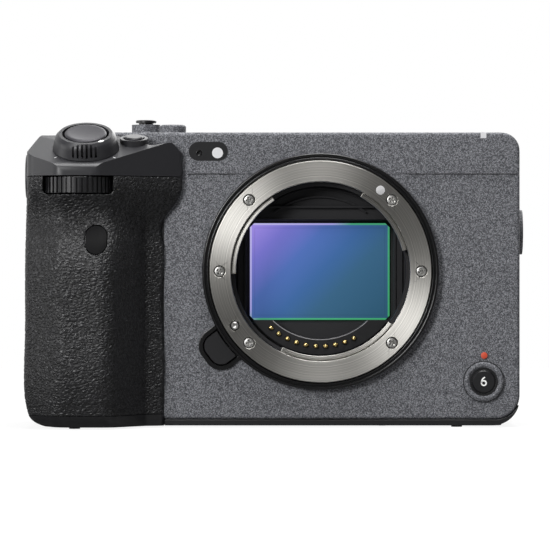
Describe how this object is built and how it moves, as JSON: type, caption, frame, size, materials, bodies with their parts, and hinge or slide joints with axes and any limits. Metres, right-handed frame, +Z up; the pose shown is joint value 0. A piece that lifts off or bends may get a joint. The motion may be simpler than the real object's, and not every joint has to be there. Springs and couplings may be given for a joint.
{
  "type": "cinema camera",
  "caption": "Compact box-shaped cinema camera body with an open lens mount, side grip, swing-out monitor, accessory shoe and threaded mounting points.",
  "frame": {"origin": "mouth of the tripod socket in the base plate, below the lens axis", "axes": "+Z up; -Y out of the lens mount; +X to the right of someone facing the lens, so the grip is at -X"},
  "size_m": [0.1298, 0.0846, 0.0798],
  "materials": {
    "body_paint": "fine sparkle grey",
    "black_plastic": "satin black",
    "gloss_black": "glossy",
    "grip_rubber": "leather grain",
    "steel": "turned face",
    "gold": "plated",
    "dark_paint": "flocked black",
    "sensor_die": "coated",
    "filter_glass": "coated",
    "board": "solder mask",
    "lamp": "diffusing",
    "screen": "glossy",
    "aluminium": "satin",
    "battery": "satin"
  },
  "bodies": {
    "body": {"front_cover": "body_paint", "top_cover": "body_paint", "rear_cover": "body_paint", "bottom_plate": "black_plastic", "grip_core": "black_plastic", "grip_rubber": "grip_rubber", "grip_hood": "black_plastic", "thumb_rest": "grip_rubber", "mount_trim_ring": "gloss_black", "mount_ring": "steel", "mount_screws": "steel", "light_baffle": "dark_paint", "contact_block": "black_plastic", "stabiliser_yoke": "aluminium", "shutter_frame": "dark_paint", "remote_window": "gloss_black", "focus_window": "gloss_black", "focus_lamp": "lamp", "tally_lamp": "lamp", "dial_axles": "steel", "accessory_shoe": "steel", "thread_inserts": "steel", "base_feet": "grip_rubber", "monitor_hinge": "black_plastic", "card_cage": "aluminium", "terminal_block": "black_plastic", "battery": "battery", "main_board": "board", "fan_housing": "black_plastic", "side_boss": "gloss_black"},
    "contact_pins": {"contact_pins": "gold"},
    "lock_pin": {"lens_lock_pin": "steel"},
    "release_button": {"lens_release_button": "black_plastic"},
    "upper_blade": {"upper_shutter_blade": "dark_paint"},
    "lower_blade": {"lower_shutter_blade": "dark_paint"},
    "record_button": {"record_button": "black_plastic"},
    "shutter_button": {"shutter_button": "body_paint"},
    "zoom_lever": {"zoom_lever": "black_plastic"},
    "front_dial": {"front_dial": "black_plastic"},
    "rear_dial": {"rear_dial": "black_plastic"},
    "deck_button": {"deck_button": "black_plastic"},
    "stick_gimbal": {"joystick_gimbal": "black_plastic"},
    "stick": {"joystick": "black_plastic"},
    "top_button": {"top_button": "body_paint"},
    "shoe_cover": {"shoe_cover": "black_plastic"},
    "control_wheel": {"control_wheel": "black_plastic"},
    "centre_button": {"centre_button": "black_plastic"},
    "menu_button": {"menu_button": "black_plastic"},
    "play_button": {"play_button": "black_plastic"},
    "power_switch": {"power_switch": "black_plastic"},
    "card_door": {"card_door": "body_paint"},
    "audio_door": {"audio_door": "body_paint"},
    "video_door": {"video_door": "body_paint"},
    "battery_door": {"battery_door": "black_plastic"},
    "fan": {"fan_rotor": "black_plastic"},
    "sensor": {"sensor_stage": "aluminium", "image_sensor": "sensor_die", "sensor_glass": "filter_glass"},
    "monitor": {"monitor_frame": "black_plastic", "monitor_glass": "screen"}
  },
  "joints": [
    {"name": "contact_press", "type": "slide", "parent": "body", "child": "contact_pins", "axis": [0, 1, 0], "range_m": [0, 0.0008], "stiffness_N_per_m": 300, "springref_m": -0.0005},
    {"name": "lock_pin_slide", "type": "slide", "parent": "body", "child": "lock_pin", "axis": [0, 1, 0], "range_m": [0, 0.0012]},
    {"name": "release_press", "type": "slide", "parent": "body", "child": "release_button", "axis": [0, 1, 0], "range_m": [0, 0.001], "stiffness_N_per_m": 300, "springref_m": -0.0005},
    {"name": "sensor_shift", "type": "slide", "parent": "body", "child": "sensor", "axis": [1, 0, 0], "range_m": [-0.0008, 0.0008]},
    {"name": "upper_blade_slide", "type": "slide", "parent": "body", "child": "upper_blade", "axis": [0, 0, -1], "range_m": [0, 0.0138]},
    {"name": "lower_blade_slide", "type": "slide", "parent": "body", "child": "lower_blade", "axis": [0, 0, -1], "range_m": [0, 0.0276]},
    {"name": "record_press", "type": "slide", "parent": "body", "child": "record_button", "axis": [0, 1, 0], "range_m": [0, 0.0006], "stiffness_N_per_m": 300, "springref_m": -0.0005},
    {"name": "shutter_press", "type": "slide", "parent": "body", "child": "shutter_button", "axis": [0, 0.4337, -0.9011], "range_m": [0, 0.001], "stiffness_N_per_m": 300, "springref_m": -0.0005},
    {"name": "zoom_turn", "type": "hinge", "parent": "body", "child": "zoom_lever", "pos_m": [-0.0599, -0.0339, 0.071], "axis": [0, -0.4337, 0.9011], "range_deg": [-15, 15], "stiffness_Nm_per_rad": 0.02},
    {"name": "front_dial_turn", "type": "hinge", "parent": "body", "child": "front_dial", "pos_m": [-0.06165, -0.0342, 0.0616], "axis": [0, 0, 1], "continuous": true},
    {"name": "rear_dial_turn", "type": "hinge", "parent": "body", "child": "rear_dial", "pos_m": [-0.062, 0.015, 0.0685], "axis": [0, 0, 1], "continuous": true},
    {"name": "deck_press", "type": "slide", "parent": "body", "child": "deck_button", "axis": [0, 0.2588, -0.9659], "range_m": [0, 0.0005], "stiffness_N_per_m": 300, "springref_m": -0.0005},
    {"name": "stick_tilt_side", "type": "hinge", "parent": "body", "child": "stick_gimbal", "pos_m": [-0.0455, -0.005, 0.0724], "axis": [0, 1, 0], "range_deg": [-4, 4], "stiffness_Nm_per_rad": 0.01},
    {"name": "stick_tilt_ahead", "type": "hinge", "parent": "stick_gimbal", "child": "stick", "pos_m": [-0.0455, -0.005, 0.0724], "axis": [1, 0, 0], "range_deg": [-4, 4], "stiffness_Nm_per_rad": 0.01},
    {"name": "top_press", "type": "slide", "parent": "body", "child": "top_button", "axis": [0, 0, -1], "range_m": [0, 0.0006], "stiffness_N_per_m": 300, "springref_m": -0.0005},
    {"name": "shoe_cover_slide", "type": "slide", "parent": "body", "child": "shoe_cover", "axis": [0, 1, 0], "range_m": [0, 0.02]},
    {"name": "wheel_turn", "type": "hinge", "parent": "body", "child": "control_wheel", "pos_m": [-0.054, 0.0224, 0.026], "axis": [0, 1, 0], "continuous": true},
    {"name": "centre_press", "type": "slide", "parent": "body", "child": "centre_button", "axis": [0, -1, 0], "range_m": [0, 0.0006], "stiffness_N_per_m": 300, "springref_m": -0.0005},
    {"name": "menu_press", "type": "slide", "parent": "body", "child": "menu_button", "axis": [0, -1, 0], "range_m": [0, 0.0006], "stiffness_N_per_m": 300, "springref_m": -0.0005},
    {"name": "play_press", "type": "slide", "parent": "body", "child": "play_button", "axis": [0, -1, 0], "range_m": [0, 0.0006], "stiffness_N_per_m": 300, "springref_m": -0.0005},
    {"name": "power_slide", "type": "slide", "parent": "body", "child": "power_switch", "axis": [1, 0, 0], "range_m": [0, 0.003]},
    {"name": "monitor_swing", "type": "hinge", "parent": "body", "child": "monitor", "pos_m": [0.0476, 0.02675, 0.0345], "axis": [0, 0, -1], "range_deg": [0, 176]},
    {"name": "card_door_swing", "type": "hinge", "parent": "body", "child": "card_door", "pos_m": [-0.07385, 0.01987, 0.0345], "axis": [0, 0, -1], "range_deg": [0, 100]},
    {"name": "audio_door_swing", "type": "hinge", "parent": "body", "child": "audio_door", "pos_m": [0.05055, 0.01797, 0.04125], "axis": [0, 0, 1], "range_deg": [0, 95]},
    {"name": "video_door_swing", "type": "hinge", "parent": "body", "child": "video_door", "pos_m": [0.05055, 0.01797, 0.0215], "axis": [0, 0, 1], "range_deg": [0, 95]},
    {"name": "battery_door_swing", "type": "hinge", "parent": "body", "child": "battery_door", "pos_m": [-0.0475, -0.008, 0.0007], "axis": [0, -1, 0], "range_deg": [0, 100]},
    {"name": "fan_spin", "type": "hinge", "parent": "body", "child": "fan", "pos_m": [0.008, 0.0157, 0.04], "axis": [0, 1, 0], "continuous": true}
  ],
  "couplings": [
    {"joint": "lock_pin_slide", "follows": "release_press", "ratio": 1.2},
    {"joint": "upper_blade_slide", "follows": "lower_blade_slide", "ratio": 0.5}
  ]
}
